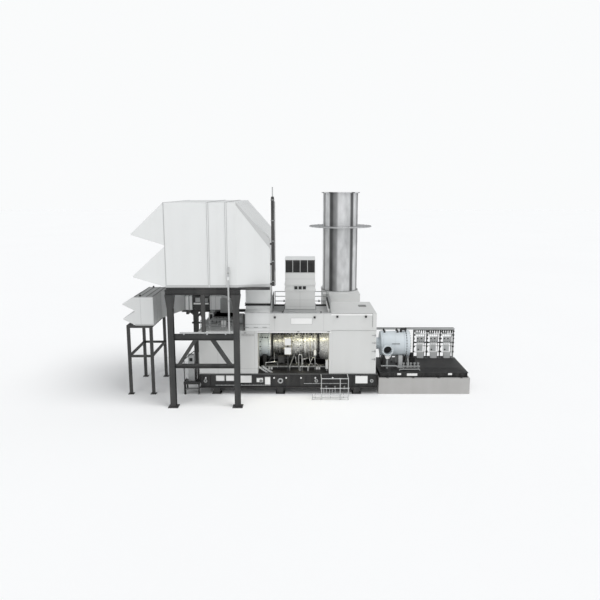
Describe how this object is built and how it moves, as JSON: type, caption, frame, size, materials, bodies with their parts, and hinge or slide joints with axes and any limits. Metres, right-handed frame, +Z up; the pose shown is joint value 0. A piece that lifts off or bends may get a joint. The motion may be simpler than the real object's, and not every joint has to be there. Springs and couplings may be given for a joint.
{
  "type": "gas turbine package",
  "caption": "Gas turbine in an open-sided enclosure on a skid, driving a compressor, with a raised intake filter house, vent filter and exhaust stack",
  "frame": {"origin": "bottom centre of the bounding box, on the ground", "axes": "+X along the shaft towards the driven compressor, +Y away from the open side of the turbine bay, +Z up"},
  "size_m": [24.25, 12.07, 14.4],
  "materials": {
    "white_panel": "satin",
    "grey_panel": "satin",
    "charcoal_steel": "satin",
    "black_skid": "satin",
    "joint_fabric": "matte",
    "concrete": "matte",
    "stack_metal": "satin",
    "engine_metal": "satin",
    "pale_blue_casing": "satin"
  },
  "bodies": {
    "root": {"inlet_box": "white_panel", "bay_rear_wall": "white_panel", "bay_bulkhead": "white_panel", "bay_roof": "white_panel", "front_fascia": "white_panel", "exhaust_box": "white_panel", "intake_duct": "white_panel", "house_body": "white_panel", "house_end": "white_panel", "hood_sheets": "white_panel", "hood_cheeks": "white_panel", "vent_house": "white_panel", "vent_tower": "white_panel", "exhaust_chest": "white_panel", "drain_pipe": "white_panel", "junction_boxes": "white_panel", "vent_transition": "grey_panel", "vent_elbow": "grey_panel", "rack_panels": "grey_panel", "rack_cabinets": "grey_panel", "end_cabinet": "grey_panel", "front_pipes": "grey_panel", "cable_tray": "grey_panel", "valve_manifold": "grey_panel", "frame_columns": "charcoal_steel", "base_plates": "charcoal_steel", "top_beams_long": "charcoal_steel", "top_beams_cross": "charcoal_steel", "frame_beams": "charcoal_steel", "frame_struts": "charcoal_steel", "house_base_beams": "charcoal_steel", "vent_legs": "charcoal_steel", "vent_bearers": "charcoal_steel", "vent_ties": "charcoal_steel", "duct_bearers": "charcoal_steel", "mast": "charcoal_steel", "machine_feet": "charcoal_steel", "rack_frame": "charcoal_steel", "end_landing": "charcoal_steel", "roof_rails": "charcoal_steel", "turbine_skid": "black_skid", "driven_skid": "black_skid", "vent_fan": "black_skid", "roof_chest": "black_skid", "tower_louvres": "black_skid", "engine_cradle": "black_skid", "machine_saddles": "black_skid", "expansion_joint": "joint_fabric", "concrete_plinth": "concrete", "stack_shell": "stack_metal", "stack_ring": "stack_metal", "compressor_casing": "engine_metal", "combustor_casing": "engine_metal", "turbine_casing": "engine_metal", "exhaust_cone": "engine_metal", "intake_casing": "pale_blue_casing", "compressor_barrel": "pale_blue_casing", "suction_nozzle": "pale_blue_casing", "coupling_guard": "pale_blue_casing"}
  },
  "joints": []
}
